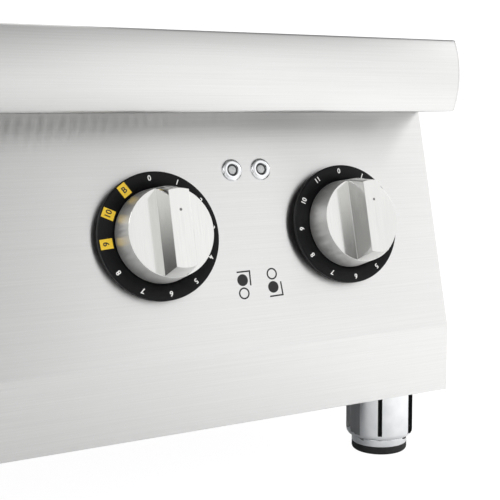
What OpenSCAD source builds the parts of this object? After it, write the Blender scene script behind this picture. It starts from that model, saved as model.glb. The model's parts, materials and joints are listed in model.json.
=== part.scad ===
// Countertop electric induction cooktop with four cooking zones.
// Origin: centre of the footprint on the floor, +Z up, +X right, front towards -Y.

/* [Body] */
// Overall width of the body
body_w = 600; // [540:1:760]
// Depth from the lower front face to the outside of the rear panel
body_d = 640; // [560:1:800]
// Height of the body without its feet
body_h = 250; // [230:1:310]
// Height of the feet under the body
foot_h = 50; // [42:1:62]
// Sheet thickness of the casing
sheet = 1.2; // [0.8:0.1:2]
// Sheet thickness of the worktop
top_sheet = 1.5; // [1:0.1:2.5]
// Width of the folded flanges that join the casing sheets
flange = 18; // [14:1:22]

/* [Front] */
// Height of the upright strip under the sloping panel
kick_h = 47.4; // [30:0.1:60]
// Lean of the control panel from upright
panel_tilt = 13.5; // [8:0.1:18]
// Height of the rounded front edge of the worktop
nose_h = 49.2; // [40:0.1:60]
// How far the ends of the front curve stand ahead of the lower front face
nose_lap = 3; // [0:0.1:6]
// Rise of the front curve between its ends
nose_bulge = 5.85; // [3:0.05:9]
// Corner radius above and below the front curve
nose_r = 2.5; // [2:0.1:5]
// Width of one air slot
slot_w = 3.4; // [2:0.1:3.8]
// Spacing of the air slots
slot_pitch = 7; // [6:0.1:12]
// Length of the air slots under the front edge
nose_slot_l = 20; // [12:0.5:24]
// Plain width left at each side of the front slots
nose_slot_margin = 28; // [20:1:60]

/* [Cooking surface] */
// Width of the glass
glass_w = 530; // [480:1:660]
// Depth of the glass
glass_d = 540; // [480:1:680]
// Thickness of the glass
glass_t = 6; // [4:0.5:8]
// Distance from the lower front face to the glass
glass_front = 52; // [44:1:60]
// Width of the sealed joint around the glass
seal_gap = 3; // [2:0.5:5]
// Thickness of the silicone bed under the glass
seal_bed = 2; // [1:0.5:3]
// Width of the ledge that carries the glass
ledge_w = 13; // [10:1:20]
// Outer radius of a coil
coil_r = 98; // [70:1:110]
// Inner radius of a coil
coil_bore = 24; // [18:1:40]
// Height of a coil
coil_t = 4; // [3:0.5:6]
// Number of turns seen across a coil
coil_turns = 15; // [8:1:20]
// Distance of the coil centres from the middle, side to side
zone_x = 122; // [112:1:150]
// Distance of the coil centres from the middle, front to back
zone_y = 126; // [112:1:150]
// Thickness of the mica sheets
mica_t = 0.5; // [0.3:0.1:1]

/* [Knobs] */
// Distance from the middle of the body to the middle of a pair of knobs
pair_x = 150; // [140:1:180]
// Spacing of the two knobs of a pair
knob_pitch = 140; // [110:1:160]
// Distance of the knob axis above the fold, along the slope
knob_v = 78; // [60:1:90]
// Radius of a knob at its base
knob_r = 30; // [22:0.1:34]
// Radius of a knob at the floor of its finger pockets
knob_floor_r = 28.2; // [20:0.1:30]
// Half length of the grip bar at its front
grip_half_l = 24; // [16:0.1:26]
// Half width of the grip bar at the floor of the pockets
grip_half_w = 8; // [5:0.1:10]
// Half width of the grip bar at its front
grip_half_w_top = 6.7; // [4:0.1:8]
// Height of the pocket floor above the panel
knob_floor_h = 25.4; // [18:0.1:32]
// Height of the knob above the panel
knob_h = 41.5; // [34:0.1:52]
// Gap between a knob and its dial plate
knob_gap = 0.5; // [0.3:0.1:1.5]
// Radius of a dial plate
dial_r = 40.9; // [36:0.1:48]
// Thickness of a dial plate at its printed rim
dial_t = 7; // [6:0.1:9]
// Height of the bevel behind a dial plate's rim
dial_back = 3.6; // [1:0.1:5]
// Radius of the sunk middle of a dial plate
dial_sunk_r = 31.5; // [30:0.1:35]
// Depth of the sunk middle of a dial plate
dial_sunk = 1; // [0.5:0.1:2]
// Radius of the selector shaft
shaft_r = 3; // [2.5:0.1:4]
// Depth of the flat on the selector shaft
shaft_flat = 0.8; // [0.4:0.1:1.2]
// Running clearance of the shaft in its bush, on the radius
shaft_clear = 0.05; // [0.02:0.01:0.1]
// Radius of the selector's threaded bush
bush_r = 5; // [4.5:0.1:6]

/* [Lamps] */
// Spacing of the two lamps of a pair
lamp_pitch = 21.6; // [18:0.1:30]
// Distance of the lamps above the fold, along the slope
lamp_v = 119; // [110:1:135]
// Outer radius of a lamp's chrome ring
lamp_r = 7.5; // [6:0.1:9]
// Inner radius of a lamp's chrome ring
lamp_bore = 3.8; // [2.5:0.1:4.5]
// Radius of a lamp's body behind the panel
lamp_body_r = 5.8; // [5:0.1:7]

/* [Feet] */
// Distance from the side of the body to the centre of a foot
foot_inset_x = 31; // [28:1:50]
// Distance from the front and the rear of the body to the centre of a foot
foot_inset_y = 40; // [30:1:70]
// Radius of the chrome sleeve
sleeve_r = 24.7; // [20:0.1:26]
// Wall of the chrome sleeve
sleeve_wall = 1.5; // [1:0.1:3]
// Radius of the adjusting foot under the sleeve
ring_r = 20.5; // [16:0.1:22]
// Height of the rubber base
rubber_h = 6; // [4:0.5:8]
// Height of the chrome ring seen between rubber and sleeve
ring_h = 5.3; // [3:0.1:8]
// Radius of the adjusting stem
stem_r = 12; // [8:0.1:14]
// Running clearance of the stem in the sleeve's collar, on the radius
stem_clear = 0.08; // [0.03:0.01:0.1]
// Gap between the foot and its sleeve when it is screwed right in
foot_gap = 0.3; // [0.2:0.1:1]
// Height of the collar inside the sleeve
collar_h = 14; // [10:1:18]

/* [Air filter] */
// Width of the filter cassette
filter_w = 440; // [360:1:460]
// Depth of the filter cassette
filter_d = 340; // [320:1:400]
// Distance from the lower front face to the cassette
filter_front = 62; // [40:1:90]
// Thickness of the filter cassette
filter_t = 8; // [6:0.5:10]
// Width of the cassette's frame
filter_frame = 12; // [8:1:18]
// Clearance of the cassette in its rails
filter_clear = 0.5; // [0.3:0.1:1]

/* [Fans] */
// Side of the square fan frame
fan_side = 120; // [100:1:130]
// Thickness of the fan frame
fan_t = 38; // [30:1:42]
// Radius of the fan's air passage
fan_bore = 57; // [46:0.5:58]
// Radius of the fan's hub
fan_hub = 20; // [16:0.5:24]
// Number of blades
fan_blades = 7; // [5:1:9]
// Distance of the fans from the middle, side to side
fan_x = 140; // [120:1:150]

/* [Power connection] */
// Bore of the cable gland
gland_bore = 10.5; // [6:0.5:12]
// Radius of the gland's threaded body
gland_r = 16; // [14:0.5:20]
// Distance of the gland from the middle
gland_x = 200; // [150:1:230]
// Height of the gland above the underside of the body
gland_z = 45; // [34:1:60]
// Radius of the bonding stud
stud_r = 3; // [2:0.5:4]
// Length of the bonding stud outside the rear panel
stud_l = 14; // [10:1:20]

/* [Hidden] */
$fn = 96;

half_w = body_w / 2;
base_z = foot_h;
top_z = foot_h + body_h;
nose_z = top_z - nose_h;
slope_h = body_h - nose_h - kick_h;
slope_y = slope_h * tan(panel_tilt);
glass_y = glass_front + glass_d / 2;
cutout_w = glass_w + 2 * seal_gap;
cutout_d = glass_d + 2 * seal_gap;

// Holes are cut this far past the faces that they pass through
through = 10;
// Clearances of the fixed fits: bushes, gland, lamps, fan pins and knob bores
bush_clear = 0.1;
gland_clear = 0.2;
lamp_clear = 0.1;
nut_clear = 0.05;
fan_pin_clear = 0.05;
bore_clear = 0.02;
lens_clear = 0.05;

// Gland: thickness of its flange outside, and of its clamping cap
gland_flange = 6;
gland_cap = 16;
gland_in = 14;
gland_nut = 6;
gland_hex_r = gland_r + 4.8;
gland_cap_r = gland_r + 3.2;
gland_nut_r = gland_r + 5.1;
stud_offset = 42;
// The knob's lower bar corner and the gland's cap are the foremost and rearmost points
front_reach = knob_h * cos(panel_tilt) + (grip_half_l - knob_v) * sin(panel_tilt);
rear_reach = gland_flange + gland_cap;
front_y = (front_reach - rear_reach - body_d) / 2;

knob_x = [for (side = [-1, 1], place = [-1, 1]) side * pair_x + place * knob_pitch / 2];
lamp_x = [for (side = [-1, 1], place = [-1, 1]) side * pair_x + place * lamp_pitch / 2];
foot_y = [foot_inset_y, body_d - foot_inset_y];
foot_places = [for (y = foot_y, side = [-1, 1]) [side * (half_w - foot_inset_x), y]];
zone_places = [for (y = [-zone_y, zone_y], x = [-zone_x, zone_x]) [x, glass_y + y]];

// Heights of the layers under the glass
bed_z = top_z - glass_t - seal_bed;
mica_z = top_z - glass_t - mica_t;
coil_z = mica_z - coil_t;
former_t = 4;
former_z = coil_z - former_t;
ferrite_t = 5;
ferrite_w = 12;
tray_sheet = 1.5;
tray_z = former_z - ferrite_t - tray_sheet;
sensor_r = 7;
sensor_t = 5;

// Electronics on the base plate
board_t = 1.6;
standoff_h = 10;
standoff_r = 4;
board_w = 236;
board_d = 176;
board_z = base_z + sheet + standoff_h;
fan_back = 6;
fan_y = body_d / 2 + fan_back;
board_gap = 6;
board_reach = fan_side / 2 + board_gap + board_d / 2;
board_y = [fan_y - board_reach, fan_y + board_reach];
board_places = [for (y = board_y, x = [-fan_x, fan_x]) [x, y]];
sink_w = 72;
sink_l = 150;
sink_h = 46;
sink_fins = 9;
sink_base = 6;
sink_offset = 60;
fin_t = 2;

// Adjusting foot
foot_top = rubber_h + ring_h;
sleeve_z = foot_top + foot_gap;
stem_top = foot_h - 3;

// Filter cassette under the base plate
rail_sheet = 1.5;
rail_lip = 8;
filter_y = filter_front + filter_d / 2;
filter_z = base_z - filter_t - filter_clear;
intake_l = fan_side - 16;

screw_r = 2;
screw_head_r = 3.8;
screw_head_t = 2;
screw_l = 8;
screw_z = [base_z + 24, base_z + 100, nose_z - 24];

// Rear air outlet
outlet_l = 60;
outlet_z = base_z + 128;
outlet_margin = 44;
outlet_middle = 24;

// ---- shared shapes ----

function arc(c, r, a0, a1, n) =
    [for (i = [0:n]) let (a = a0 + (a1 - a0) * i / n) c + r * [cos(a), sin(a)]];

// Puts its children in the casing's own frame: y counts back from the lower front face
module in_casing() {
    translate([0, front_y, 0]) children();
}

// Places its children on the sloping panel: x across, y up the slope, z out of the face
module on_panel(x, v) {
    in_casing()
        translate([x, v * sin(panel_tilt), base_z + kick_h + v * cos(panel_tilt)])
            rotate([90 - panel_tilt, 0, 0]) children();
}

// Extrudes a side-view outline (x is depth, y is height) across the width
module across(w) {
    rotate([90, 0, 90]) linear_extrude(w, center = true) children();
}

module tube(outer, inner, h) {
    difference() {
        cylinder(r = outer, h = h);
        translate([0, 0, -1]) cylinder(r = inner, h = h + 2);
    }
}

module ring_plate(w, d, hole_w, hole_d, t) {
    linear_extrude(t) difference() {
        square([w, d], center = true);
        square([hole_w, hole_d], center = true);
    }
}

// A row of slots along x, centred, each slot_w wide and l long in y
module slots(span, l) {
    count = floor(span / slot_pitch);
    for (i = [0:count]) translate([(i - count / 2) * slot_pitch, 0]) square([slot_w, l], center = true);
}

// ---- worktop ----

// The front curve is one shallow arc with a small corner arc at each end
nose_arc_r = (pow(nose_h / 2, 2) + pow(nose_bulge, 2)) / (2 * nose_bulge);
nose_arc_y = nose_arc_r - nose_bulge - nose_lap;
nose_corner_dz = nose_h / 2 - nose_r;
nose_corner_y = nose_arc_y - sqrt(pow(nose_arc_r - nose_r, 2) - pow(nose_corner_dz, 2));
nose_corner_a = asin(nose_corner_dz / (nose_arc_r - nose_r));

function nose_front(inset) = concat(
    arc([nose_corner_y, nose_corner_dz], nose_r - inset, 90, 180 - nose_corner_a, 6),
    arc([nose_arc_y, 0], nose_arc_r - inset, 180 - nose_corner_a, 180 + nose_corner_a, 28),
    arc([nose_corner_y, -nose_corner_dz], nose_r - inset, 180 + nose_corner_a, 270, 6)
);

// The sheet runs from the top, round the front and back under to the control panel
module nose_outline(back) {
    inner = nose_front(top_sheet);
    translate([0, nose_z + nose_h / 2]) polygon(concat(
        [[back, nose_h / 2]],
        nose_front(0),
        [[back, -nose_h / 2], [back, top_sheet - nose_h / 2]],
        [for (i = [len(inner) - 1:-1:0]) inner[i]],
        [[back, nose_h / 2 - top_sheet]]
    ));
}

module worktop() {
    back = slope_y + flange;
    color("gainsboro") in_casing() difference() {
        union() {
            across(body_w - 2 * top_sheet) nose_outline(back);
            translate([0, (back + body_d) / 2 - 1, top_z - top_sheet])
                linear_extrude(top_sheet) square([body_w, body_d - back + 2], center = true);
            for (side = [-1, 1]) {
                // folded side with its return flange
                translate([side * (half_w - top_sheet / 2), (slope_y + body_d) / 2, nose_z])
                    linear_extrude(nose_h) square([top_sheet, body_d - slope_y], center = true);
                translate([side * (half_w - flange / 2), (back + body_d) / 2 - 1, nose_z])
                    linear_extrude(top_sheet) square([flange, body_d - back + 2], center = true);
            }
            translate([0, body_d - top_sheet / 2, nose_z])
                linear_extrude(nose_h) square([body_w, top_sheet], center = true);
            translate([0, body_d - flange / 2, nose_z])
                linear_extrude(top_sheet) square([body_w, flange], center = true);
        }
        translate([0, glass_y, top_z - top_sheet - 1])
            linear_extrude(top_sheet + 2) square([cutout_w, cutout_d], center = true);
        translate([0, (slope_y + nose_corner_y) / 2, nose_z - 1])
            linear_extrude(top_sheet + 2) slots(body_w - 2 * nose_slot_margin, nose_slot_l);
    }
}

module bullnose_end_caps() {
    color("silver") in_casing() for (side = [-1, 1])
        translate([side * (half_w - top_sheet / 2), 0, nose_z + nose_h / 2]) across(top_sheet)
            polygon(concat([[slope_y, nose_h / 2]], nose_front(0), [[slope_y, -nose_h / 2]]));
}

// ---- casing ----

// Where the inside of the bent panel sheet folds, and where it ends at the top
fold_in = tan(panel_tilt / 2) * sheet;
slope_in_y = slope_y + sheet / cos(panel_tilt);
panel_h = kick_h + slope_h;

// Bent sheet with a return flange at its foot and another at its top
module control_panel() {
    color("gainsboro") difference() {
        in_casing() translate([0, 0, base_z]) union() {
            across(body_w) polygon([
                [0, 0],
                [0, kick_h],
                [slope_y, panel_h],
                [slope_in_y, panel_h],
                [sheet, kick_h - fold_in],
                [sheet, 0]
            ]);
            across(body_w - 2 * sheet) translate([sheet / 2, sheet])
                square([flange - sheet / 2, sheet]);
            across(body_w - 2 * sheet) translate([slope_y + sheet / 2, panel_h - sheet])
                square([flange - sheet / 2, sheet]);
        }
        for (x = knob_x) on_panel(x, knob_v) translate([0, 0, -through])
            cylinder(r = bush_r + bush_clear, h = 2 * through);
        for (x = lamp_x) on_panel(x, lamp_v) translate([0, 0, -through])
            cylinder(r = lamp_body_r, h = 2 * through);
    }
}

// Side view of the casing behind the panel sheet
module side_outline() {
    polygon([
        [sheet, 0],
        [sheet, kick_h - fold_in],
        [slope_in_y, panel_h],
        [body_d - sheet, panel_h],
        [body_d - sheet, 0]
    ]);
}

// One side: plate, bottom flange on the base plate, top flange under the worktop, rear flange
module side_panel(side) {
    edge = half_w - flange / 2;
    color("lightgray") in_casing() difference() {
        union() {
            translate([side * (half_w - sheet / 2), 0, base_z]) across(sheet) side_outline();
            translate([side * edge, (flange + body_d - sheet) / 2, base_z + sheet])
                linear_extrude(sheet) square([flange, body_d - sheet - flange], center = true);
            translate([side * edge, (slope_y + flange + body_d - sheet) / 2, nose_z - sheet])
                linear_extrude(sheet) square([flange, body_d - sheet - slope_y - flange], center = true);
            translate([side * edge, body_d - 1.5 * sheet, base_z + sheet])
                linear_extrude(nose_z - base_z - sheet) square([flange, sheet], center = true);
        }
        screw_holes(side);
    }
}

module side_panel_left() {
    side_panel(-1);
}

module side_panel_right() {
    side_panel(1);
}

module screw_holes(side) {
    for (z = screw_z) translate([side * (half_w - flange / 2), body_d - 3 * sheet, z])
        rotate([-90, 0, 0]) cylinder(r = screw_r, h = 6 * sheet);
}

// Plate with two rows of outlet slots and a welded bonding stud
module rear_panel() {
    outlet_w = body_w - 2 * outlet_margin;
    color("lightgray") in_casing() difference() {
        union() {
            translate([0, body_d - sheet / 2, base_z])
                linear_extrude(nose_z - base_z) square([body_w, sheet], center = true);
            translate([gland_x + stud_offset, body_d - sheet / 2, base_z + gland_z])
                rotate([-90, 0, 0]) cylinder(r = stud_r, h = stud_l + sheet / 2);
        }
        for (side = [-1, 1]) screw_holes(side);
        for (side = [-1, 1])
            translate([side * (outlet_w + outlet_middle) / 4, body_d + 1, outlet_z])
                rotate([90, 0, 0]) linear_extrude(sheet + 2)
                    slots((outlet_w - outlet_middle) / 2 - slot_pitch, outlet_l);
        translate([gland_x, body_d - sheet - 1, base_z + gland_z])
            rotate([-90, 0, 0]) cylinder(r = gland_r + gland_clear, h = sheet + 2);
    }
}

module base_plate() {
    color("silver") in_casing() difference() {
        translate([0, body_d / 2, base_z])
            linear_extrude(sheet) square([body_w - 2 * sheet, body_d - 2 * sheet], center = true);
        for (x = [-fan_x, fan_x]) translate([x, fan_y, base_z - 1])
            linear_extrude(sheet + 2) slots(intake_l, intake_l);
    }
}

module casing_screws() {
    color("silver") in_casing() for (side = [-1, 1], z = screw_z)
        translate([side * (half_w - flange / 2), body_d, z]) rotate([90, 0, 0]) union() {
            cylinder(r = screw_r, h = screw_l);
            translate([0, 0, -screw_head_t]) cylinder(r = screw_head_r, h = screw_head_t);
        }
}

// ---- cooking surface ----

module glass_plate() {
    color("black") in_casing() translate([0, glass_y, top_z - glass_t])
        linear_extrude(glass_t) square([glass_w, glass_d], center = true);
}

// Joint round the glass, and the bed that it lies on
module glass_seal() {
    bed_w = glass_w - 2 * ledge_w;
    bed_d = glass_d - 2 * ledge_w;
    color("dimgray") in_casing() translate([0, glass_y, bed_z]) union() {
        ring_plate(cutout_w, cutout_d, bed_w, bed_d, seal_bed);
        ring_plate(cutout_w, cutout_d, glass_w, glass_d, seal_bed + glass_t);
    }
}

// Welded under the worktop: an upright ring round the opening, with a ledge at its foot
module glass_support_frame() {
    ledge_z = bed_z - top_sheet;
    lip = 10;
    color("silver") in_casing() translate([0, glass_y, ledge_z]) union() {
        ring_plate(cutout_w + 2 * top_sheet, cutout_d + 2 * top_sheet, glass_w - 2 * ledge_w,
            glass_d - 2 * ledge_w, top_sheet);
        ring_plate(cutout_w + 2 * top_sheet, cutout_d + 2 * top_sheet, cutout_w, cutout_d,
            top_z - top_sheet - ledge_z);
        translate([0, 0, top_z - 2 * top_sheet - ledge_z])
            ring_plate(cutout_w + 2 * lip, cutout_d + 2 * lip, cutout_w, cutout_d, top_sheet);
    }
}

// A flat coil: its upper side is grooved between the turns
module coil(place) {
    turn = (coil_r - coil_bore) / coil_turns;
    groove = turn / 4;
    color("chocolate") in_casing() translate([place.x, place.y, coil_z]) rotate_extrude() polygon(concat(
        [[coil_bore, 0]],
        [for (i = [0:coil_turns - 1]) each [
            [coil_bore + i * turn, coil_t],
            [coil_bore + (i + 1) * turn - groove, coil_t],
            [coil_bore + (i + 1) * turn - groove, coil_t / 2],
            [coil_bore + (i + 1) * turn, coil_t / 2]
        ]],
        [[coil_r, 0]]
    ));
}

module coil_winding_front_left() {
    coil(zone_places[0]);
}

module coil_winding_front_right() {
    coil(zone_places[1]);
}

module coil_winding_rear_left() {
    coil(zone_places[2]);
}

module coil_winding_rear_right() {
    coil(zone_places[3]);
}

module coil_formers() {
    rim = 4;
    color("ivory") in_casing() for (p = zone_places) translate([p.x, p.y, former_z])
        tube(coil_r + rim, sensor_r + 1, former_t);
}

module ferrite_bars() {
    ferrites = 8;
    color("darkslategray") in_casing() for (p = zone_places, i = [0:ferrites - 1])
        translate([p.x, p.y, former_z - ferrite_t]) rotate([0, 0, i * 360 / ferrites])
            translate([coil_bore, -ferrite_w / 2, 0]) cube([coil_r - coil_bore, ferrite_w, ferrite_t]);
}

module mica_sheets() {
    color("goldenrod") in_casing() for (p = zone_places) translate([p.x, p.y, mica_z])
        tube(coil_r + 2, sensor_r + 1, mica_t);
}

// Temperature feelers, pressed against the glass
module zone_sensors() {
    color("white") in_casing() for (p = zone_places) translate([p.x, p.y, top_z - glass_t - sensor_t])
        cylinder(r = sensor_r, h = sensor_t);
}

// Silicone bushes that press the feelers against the glass
module sensor_bushes() {
    low = tray_z + tray_sheet;
    color("firebrick") in_casing() for (p = zone_places) translate([p.x, p.y, low])
        tube(sensor_r - 1, sensor_r - 3, top_z - glass_t - sensor_t - low);
}

// Folded aluminium tray, standing on the worktop's return flanges
module coil_tray() {
    tray_w = body_w - 2 * flange;
    tray_d = glass_d + 20;
    leg_h = tray_z + tray_sheet - nose_z - top_sheet;
    color("silver") in_casing() translate([0, glass_y, nose_z + top_sheet]) union() {
        translate([0, 0, leg_h - tray_sheet])
            linear_extrude(tray_sheet) square([tray_w, tray_d], center = true);
        for (side = [-1, 1]) translate([side * (tray_w - tray_sheet) / 2, 0, 0])
            linear_extrude(leg_h) square([tray_sheet, tray_d], center = true);
        for (side = [-1, 1]) translate([side * (tray_w / 2 + 3), 0, 0])
            linear_extrude(tray_sheet) square([6, tray_d], center = true);
    }
}

// ---- electronics ----

// A circuit board on four standoffs
module board(w, d) {
    inset = 8;
    union() {
        translate([0, 0, standoff_h]) linear_extrude(board_t) square([w, d], center = true);
        for (x = [-1, 1], y = [-1, 1])
            translate([x * (w / 2 - inset), y * (d / 2 - inset), 0]) cylinder(r = standoff_r, h = standoff_h);
    }
}

module generator_boards() {
    color("seagreen") in_casing() for (p = board_places)
        translate([p.x, p.y, base_z + sheet]) board(board_w, board_d);
}

// Finned blocks, one on each generator board
module heat_sinks() {
    gap = (sink_w - fin_t) / (sink_fins - 1);
    color("silver") in_casing() for (p = board_places)
        translate([p.x - sink_offset, p.y, board_z + board_t]) union() {
            linear_extrude(sink_base) square([sink_w, sink_l], center = true);
            for (i = [0:sink_fins - 1])
                translate([-sink_w / 2 + i * gap, -sink_l / 2, 0]) cube([fin_t, sink_l, sink_h]);
        }
}

// Three capacitors, two chokes, a film capacitor and a relay on each generator board
module power_components() {
    cap_r = 15;
    cap_h = 42;
    cap_places = [[20, -54], [20, -18], [20, 18]];
    choke_r = 22;
    choke_h = 18;
    choke_places = [[72, -50], [72, 4]];
    film = [44, 32, 22];
    film_at = [78, 56];
    relay = [30, 26, 14];
    relay_at = [22, 58];
    color("darkblue") in_casing() for (p = board_places)
        translate([p.x, p.y, board_z + board_t]) {
            for (c = cap_places) translate(c) cylinder(r = cap_r, h = cap_h);
            for (c = choke_places) translate(c) tube(choke_r, choke_r / 2, choke_h);
            translate(film_at) linear_extrude(film.z) square([film.x, film.y], center = true);
            translate(relay_at) linear_extrude(relay.z) square([relay.x, relay.y], center = true);
        }
}

// Supply filter at the rear, between the generators: a choke and a capacitor on their own board
module filter_board() {
    rear_gap = 52;
    size = [36, 74];
    choke_r = 15;
    choke_bore = 6;
    choke_h = 16;
    choke_y = -14;
    cap = [28, 18, 24];
    cap_y = 22;
    color("darkgreen") in_casing() translate([0, body_d - rear_gap, base_z + sheet]) union() {
        board(size.x, size.y);
        translate([0, choke_y, standoff_h + board_t]) tube(choke_r, choke_bore, choke_h);
        translate([0, cap_y, standoff_h + board_t]) linear_extrude(cap.z) square([cap.x, cap.y], center = true);
    }
}

// Supply terminals in front of the gland
module terminal_block() {
    ways = 5;
    way = 11;
    depth = 24;
    height = 16;
    rear_gap = 34;
    wire_r = 2.6;
    color("beige") in_casing() translate([gland_x, body_d - rear_gap, base_z + sheet]) difference() {
        linear_extrude(height) square([ways * way, depth], center = true);
        for (i = [0:ways - 1])
            translate([(i - (ways - 1) / 2) * way, 0, height / 2]) cylinder(r = wire_r, h = height);
    }
}

module control_board() {
    size = [120, 90];
    behind = 14;
    hole_in = 8;
    hole_r = 1.6;
    color("green") on_panel(0, knob_v) translate([0, 0, -sheet - behind]) difference() {
        linear_extrude(board_t) square(size, center = true);
        for (x = [-1, 1], y = [-1, 1])
            translate([x * (size.x / 2 - hole_in), y * (size.y / 2 - hole_in), -1])
                cylinder(r = hole_r, h = board_t + 2);
    }
}

// ---- fans ----

// Square frame with its round air passage, and the motor hub on three struts
module fan_frame() {
    motor_h = 7;
    strut_w = 5;
    screw_in = 7.5;
    hole_r = 2.2;
    difference() {
        union() {
            difference() {
                linear_extrude(fan_t) square([fan_side, fan_side], center = true);
                translate([0, 0, -1]) cylinder(r = fan_bore, h = fan_t + 2);
            }
            translate([0, 0, fan_t - motor_h]) cylinder(r = fan_hub, h = motor_h);
            for (a = [30, 150, 270]) rotate([0, 0, a])
                translate([fan_hub - 2, -strut_w / 2, fan_t - motor_h])
                    cube([fan_bore - fan_hub + 3, strut_w, motor_h]);
        }
        translate([0, 0, fan_t - motor_h - 1]) cylinder(r = fan_pin_r + fan_pin_clear, h = motor_h);
        for (x = [-1, 1], y = [-1, 1])
            translate([x * (fan_side / 2 - screw_in), y * (fan_side / 2 - screw_in), -1])
                cylinder(r = hole_r, h = fan_t + 2);
    }
}

fan_pin_r = 2;
fan_z = base_z + sheet;
rotor_lift = 3;

module fan_frames() {
    color("dimgray") in_casing() for (x = [-fan_x, fan_x])
        translate([x, fan_y, fan_z]) fan_frame();
}

// Hub, pitched blades and the pin that turns in the frame
module fan_rotor(x) {
    hub_h = fan_t - 12;
    pin_l = hub_h + 5;
    blade_t = 1.6;
    blade_w = 30;
    blade_pitch = 40;
    tip_gap = 2;
    root = fan_hub - 2;
    reach = sqrt(pow(fan_bore - tip_gap, 2) - pow(blade_w / 2, 2));
    color("black") in_casing() translate([x, fan_y, fan_z + rotor_lift]) union() {
        cylinder(r = fan_hub, h = hub_h);
        cylinder(r = fan_pin_r, h = pin_l);
        for (i = [0:fan_blades - 1]) rotate([0, 0, i * 360 / fan_blades])
            translate([(root + reach) / 2, 0, hub_h / 2]) rotate([blade_pitch, 0, 0])
                cube([reach - root, blade_w, blade_t], center = true);
    }
}

module fan_rotor_left() {
    fan_rotor(-fan_x);
}

module fan_rotor_right() {
    fan_rotor(fan_x);
}

// ---- power inlet ----

module at_gland() {
    in_casing() translate([gland_x, body_d, base_z + gland_z]) rotate([-90, 0, 0]) children();
}

// Gland body through the rear panel, with its flange and clamping cap outside
module cable_gland() {
    color("dimgray") at_gland() difference() {
        union() {
            translate([0, 0, -gland_in]) cylinder(r = gland_r, h = gland_in);
            cylinder(r = gland_hex_r, h = gland_flange, $fn = 6);
            translate([0, 0, gland_flange]) cylinder(r = gland_cap_r, h = gland_cap);
        }
        translate([0, 0, -gland_in - 1]) cylinder(r = gland_bore, h = gland_in + gland_flange + gland_cap + 2);
    }
}

module gland_locknut() {
    color("gray") at_gland() translate([0, 0, -sheet - gland_nut]) difference() {
        cylinder(r = gland_nut_r, h = gland_nut, $fn = 6);
        translate([0, 0, -through]) cylinder(r = gland_r, h = gland_nut + 2 * through);
    }
}

// ---- knobs and selectors ----

// Heights along the knob axis, from the face of the panel
knob_base_h = dial_t - dial_sunk + knob_gap;
// Room past the end of a shaft, and the metal left over it
tip_clear = 1;
knob_cap = 5;
shaft_tip_h = knob_floor_h - knob_cap;
nut_h = 3;
nut_r = 8;
dial_hole_r = 9.5;
selector_l = 26;
// Where a shaft and its collar start, from the back of the selector
shaft_in = 4;
collar_in = 8;
collar_t = 3;
collar_clear = 0.3;
selector_r = 14;

// Metal drum whose front is cut away in two D-shaped finger pockets, leaving a drafted grip bar
module knob(n) {
    skirt_h = 14;
    skirt_wall = 4;
    boss_r = 9;
    // depth to which the grip is rooted in the drum
    root = 1;
    color("silver") on_panel(knob_x[n - 1], knob_v) difference() {
        union() {
            translate([0, 0, knob_base_h])
                cylinder(r1 = knob_r, r2 = knob_floor_r, h = knob_floor_h - knob_base_h);
            intersection() {
                translate([0, 0, knob_floor_h - root])
                    cylinder(r1 = knob_floor_r, r2 = grip_half_l, h = knob_h - knob_floor_h + root);
                rotate([90, 0, 0]) linear_extrude(2 * knob_r, center = true) polygon([
                    [-grip_half_w, knob_floor_h - root],
                    [grip_half_w, knob_floor_h - root],
                    [grip_half_w_top, knob_h],
                    [-grip_half_w_top, knob_h]
                ]);
            }
        }
        // hollow behind the skirt, round the boss
        translate([0, 0, knob_base_h - through]) tube(knob_r - skirt_wall, boss_r, skirt_h + through);
        // D-shaped bore for the shaft
        difference() {
            translate([0, 0, knob_base_h - through])
                cylinder(r = shaft_r + bore_clear, h = shaft_tip_h + tip_clear - knob_base_h + through);
            translate([-shaft_r, shaft_r - shaft_flat, -through])
                cube([2 * shaft_r, shaft_r, knob_h + through]);
        }
    }
}

module knob_1() {
    knob(1);
}

module knob_2() {
    knob(2);
}

module knob_3() {
    knob(3);
}

module knob_4() {
    knob(4);
}

// Disc with a rounded rim, a sunk middle and a back that is bevelled down to the panel
module dial_plate(n) {
    rim_r = 0.8;
    back_in = 3.2;
    color([0.06, 0.06, 0.06]) on_panel(knob_x[n - 1], knob_v) rotate_extrude($fn = 128) polygon(concat(
        [[dial_hole_r, 0], [dial_r - back_in, 0], [dial_r, dial_back]],
        arc([dial_r - rim_r, dial_t - rim_r], rim_r, 0, 90, 6),
        [[dial_sunk_r, dial_t], [dial_sunk_r, dial_t - dial_sunk], [dial_hole_r, dial_t - dial_sunk]]
    ));
}

module dial_plate_1() {
    dial_plate(1);
}

module dial_plate_2() {
    dial_plate(2);
}

module dial_plate_3() {
    dial_plate(3);
}

module dial_plate_4() {
    dial_plate(4);
}

// Steel shaft with a flat inside the knob; its inner end carries a drive collar in the switch
module selector_shaft(n) {
    collar_r = 6;
    color("gray") on_panel(knob_x[n - 1], knob_v) difference() {
        union() {
            translate([0, 0, shaft_in - selector_l])
                cylinder(r = shaft_r, h = selector_l - shaft_in + shaft_tip_h);
            translate([0, 0, collar_in - selector_l]) cylinder(r = collar_r, h = collar_t);
        }
        translate([-shaft_r, shaft_r - shaft_flat, knob_base_h - 0.5])
            cube([2 * shaft_r, shaft_r, shaft_tip_h]);
    }
}

module selector_shaft_1() {
    selector_shaft(1);
}

module selector_shaft_2() {
    selector_shaft(2);
}

module selector_shaft_3() {
    selector_shaft(3);
}

module selector_shaft_4() {
    selector_shaft(4);
}

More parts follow.
